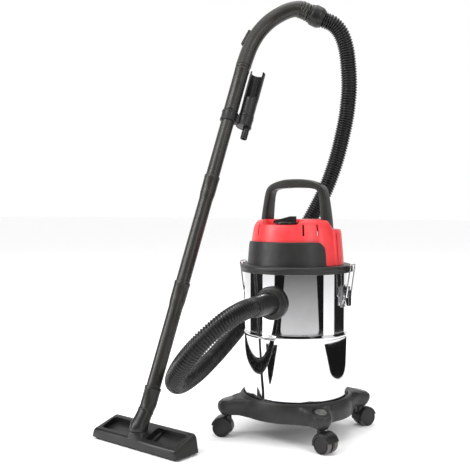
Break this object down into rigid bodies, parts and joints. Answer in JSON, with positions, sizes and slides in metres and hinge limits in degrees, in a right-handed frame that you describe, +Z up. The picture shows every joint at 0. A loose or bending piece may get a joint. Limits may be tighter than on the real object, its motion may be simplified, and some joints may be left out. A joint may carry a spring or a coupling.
{
  "type": "shop vacuum",
  "caption": "Wet and dry shop vacuum: steel drum on a castor base, lift-off motor head with carry handle, corrugated hose, wand and floor nozzle.",
  "frame": {"origin": "on the floor, under the middle of the footprint of the drum, base, wand and nozzle, measured without the hose and its cuffs", "axes": "+Z up; -Y towards the hose inlet side, with the floor nozzle at front left; +X to the right of it"},
  "size_m": [0.6005, 0.7021, 1.1823],
  "materials": {
    "steel": "mirror polished stainless steel",
    "chrome": "bright plated steel",
    "black_plastic": "fine grained black polypropylene",
    "tube_plastic": "satin dark grey-black plastic tube",
    "red_plastic": "satin red moulded plastic",
    "hose_plastic": "black corrugated plastic hose",
    "soft_rubber": "matt black rubber",
    "wheel_plastic": "hard black plastic wheel",
    "bristle": "dark nylon bristle strip",
    "filter_foam": "open grey foam sleeve",
    "motor_metal": "plain cast and pressed metal"
  },
  "bodies": {
    "drum_and_base": {"drum": "steel", "base": "black_plastic", "inlet_flange": "black_plastic", "inlet_gasket": "soft_rubber", "inlet_nut": "black_plastic", "latch_bracket_right": "chrome", "latch_bracket_left": "chrome", "stem_front_right": "chrome", "stem_back_right": "chrome", "stem_back_left": "chrome", "stem_front_left": "chrome", "hose": "hose_plastic"},
    "head": {"head_base": "black_plastic", "motor_cover": "red_plastic", "carry_handle": "black_plastic", "cord_gland": "soft_rubber", "head_gasket": "soft_rubber", "motor": "motor_metal", "fan_housing": "motor_metal", "filter_cage": "black_plastic", "filter_sleeve": "filter_foam"},
    "knob": {"switch_knob": "black_plastic"},
    "rotor": {"motor_shaft": "chrome", "impeller": "motor_metal"},
    "float": {"float": "black_plastic"},
    "wand": {"nozzle_body": "black_plastic", "nozzle_neck": "black_plastic", "brush_strip": "bristle", "squeegee_strip": "soft_rubber", "wand_tube_lower": "tube_plastic", "wand_tube_middle": "tube_plastic", "wand_tube_upper": "tube_plastic", "handle_tube": "tube_plastic", "accessory_clip": "black_plastic"},
    "slider": {"suction_slider": "black_plastic"},
    "tool": {"two_in_one_tool": "black_plastic"},
    "inlet_cuff": {"hose_inlet_cuff": "black_plastic"},
    "handle_cuff": {"hose_handle_cuff": "black_plastic"},
    "lever_right": {"latch_lever_right": "chrome"},
    "bail_right": {"latch_bail_right": "chrome"},
    "lever_left": {"latch_lever_left": "chrome"},
    "bail_left": {"latch_bail_left": "chrome"},
    "swivel_front_right": {"hood_front_right": "black_plastic", "axle_front_right": "chrome"},
    "wheel_a_front_right": {"wheel_a_front_right": "wheel_plastic"},
    "wheel_b_front_right": {"wheel_b_front_right": "wheel_plastic"},
    "swivel_back_right": {"hood_back_right": "black_plastic", "axle_back_right": "chrome"},
    "wheel_a_back_right": {"wheel_a_back_right": "wheel_plastic"},
    "wheel_b_back_right": {"wheel_b_back_right": "wheel_plastic"},
    "swivel_back_left": {"hood_back_left": "black_plastic", "axle_back_left": "chrome"},
    "wheel_a_back_left": {"wheel_a_back_left": "wheel_plastic"},
    "wheel_b_back_left": {"wheel_b_back_left": "wheel_plastic"},
    "swivel_front_left": {"hood_front_left": "black_plastic", "axle_front_left": "chrome"},
    "wheel_a_front_left": {"wheel_a_front_left": "wheel_plastic"},
    "wheel_b_front_left": {"wheel_b_front_left": "wheel_plastic"}
  },
  "joints": [
    {"name": "head_lift", "type": "slide", "parent": "drum_and_base", "child": "head", "axis": [0, 0, 1], "range_m": [0, 0.35]},
    {"name": "knob_turn", "type": "hinge", "parent": "head", "child": "knob", "pos_m": [0.1229, 0.0215, 0.552], "axis": [0, 0, -1], "range_deg": [0, 90]},
    {"name": "spin_fan", "type": "hinge", "parent": "head", "child": "rotor", "pos_m": [0.1229, 0.0795, 0.46], "axis": [0, 0, 1], "continuous": true},
    {"name": "water_float_rise", "type": "slide", "parent": "head", "child": "float", "axis": [0, 0, 1], "range_m": [0, 0.018]},
    {"name": "latch_lever_right", "type": "hinge", "parent": "drum_and_base", "child": "lever_right", "pos_m": [0.2669, 0.0795, 0.384], "axis": [0, -1, 0], "range_deg": [0, 110]},
    {"name": "latch_bail_right", "type": "hinge", "parent": "lever_right", "child": "bail_right", "pos_m": [0.2714, 0.0795, 0.366], "axis": [0, 1, 0], "range_deg": [0, 135]},
    {"name": "latch_lever_left", "type": "hinge", "parent": "drum_and_base", "child": "lever_left", "pos_m": [-0.0211, 0.0795, 0.384], "axis": [0, 1, 0], "range_deg": [0, 110]},
    {"name": "latch_bail_left", "type": "hinge", "parent": "lever_left", "child": "bail_left", "pos_m": [-0.0256, 0.0795, 0.366], "axis": [0, -1, 0], "range_deg": [0, 135]},
    {"name": "twist_inlet_cuff", "type": "hinge", "parent": "drum_and_base", "child": "inlet_cuff", "pos_m": [0.1229, -0.0705, 0.356], "axis": [0, -1, 0], "continuous": true},
    {"name": "lift_wand", "type": "slide", "parent": "drum_and_base", "child": "wand", "axis": [0, 0, 1], "range_m": [0, 0.15], "deforming": ["hose"]},
    {"name": "twist_handle_cuff", "type": "hinge", "parent": "wand", "child": "handle_cuff", "pos_m": [0.0908, 0.28645, 1.13971], "axis": [-0.8052, -0.4025, 0.4355], "continuous": true},
    {"name": "suction_relief_slide", "type": "slide", "parent": "wand", "child": "slider", "axis": [0.2693, 0.4059, 0.8734], "range_m": [0, 0.008]},
    {"name": "pull_tool", "type": "slide", "parent": "wand", "child": "tool", "axis": [0.0631, 0.3856, 0.9205], "range_m": [0, 0.05]},
    {"name": "swivel_front_right", "type": "hinge", "parent": "drum_and_base", "child": "swivel_front_right", "pos_m": [0.25442, -0.05202, 0.05], "axis": [0, 0, 1], "continuous": true},
    {"name": "wheel_a_front_right", "type": "hinge", "parent": "swivel_front_right", "child": "wheel_a_front_right", "pos_m": [0.26794, -0.05565, 0.024], "axis": [0.2588, 0.9659, 0], "continuous": true},
    {"name": "wheel_b_front_right", "type": "hinge", "parent": "swivel_front_right", "child": "wheel_b_front_right", "pos_m": [0.26794, -0.05565, 0.024], "axis": [0.2588, 0.9659, 0], "continuous": true},
    {"name": "swivel_back_right", "type": "hinge", "parent": "drum_and_base", "child": "swivel_back_right", "pos_m": [0.25442, 0.21102, 0.05], "axis": [0, 0, 1], "continuous": true},
    {"name": "wheel_a_back_right", "type": "hinge", "parent": "swivel_back_right", "child": "wheel_a_back_right", "pos_m": [0.26142, 0.22315, 0.024], "axis": [-0.866, 0.5, 0], "continuous": true},
    {"name": "wheel_b_back_right", "type": "hinge", "parent": "swivel_back_right", "child": "wheel_b_back_right", "pos_m": [0.26142, 0.22315, 0.024], "axis": [-0.866, 0.5, 0], "continuous": true},
    {"name": "swivel_back_left", "type": "hinge", "parent": "drum_and_base", "child": "swivel_back_left", "pos_m": [-0.00862, 0.21102, 0.05], "axis": [0, 0, 1], "continuous": true},
    {"name": "wheel_a_back_left", "type": "hinge", "parent": "swivel_back_left", "child": "wheel_a_back_left", "pos_m": [-0.02075, 0.21802, 0.024], "axis": [-0.5, -0.866, 0], "continuous": true},
    {"name": "wheel_b_back_left", "type": "hinge", "parent": "swivel_back_left", "child": "wheel_b_back_left", "pos_m": [-0.02075, 0.21802, 0.024], "axis": [-0.5, -0.866, 0], "continuous": true},
    {"name": "swivel_front_left", "type": "hinge", "parent": "drum_and_base", "child": "swivel_front_left", "pos_m": [-0.00862, -0.05202, 0.05], "axis": [0, 0, 1], "continuous": true},
    {"name": "wheel_a_front_left", "type": "hinge", "parent": "swivel_front_left", "child": "wheel_a_front_left", "pos_m": [-0.02178, -0.05681, 0.024], "axis": [0.342, -0.9397, 0], "continuous": true},
    {"name": "wheel_b_front_left", "type": "hinge", "parent": "swivel_front_left", "child": "wheel_b_front_left", "pos_m": [-0.02178, -0.05681, 0.024], "axis": [0.342, -0.9397, 0], "continuous": true}
  ],
  "couplings": [
    {"joint": "latch_bail_right", "follows": "latch_lever_right", "ratio": 1.2},
    {"joint": "latch_bail_left", "follows": "latch_lever_left", "ratio": 1.2}
  ]
}
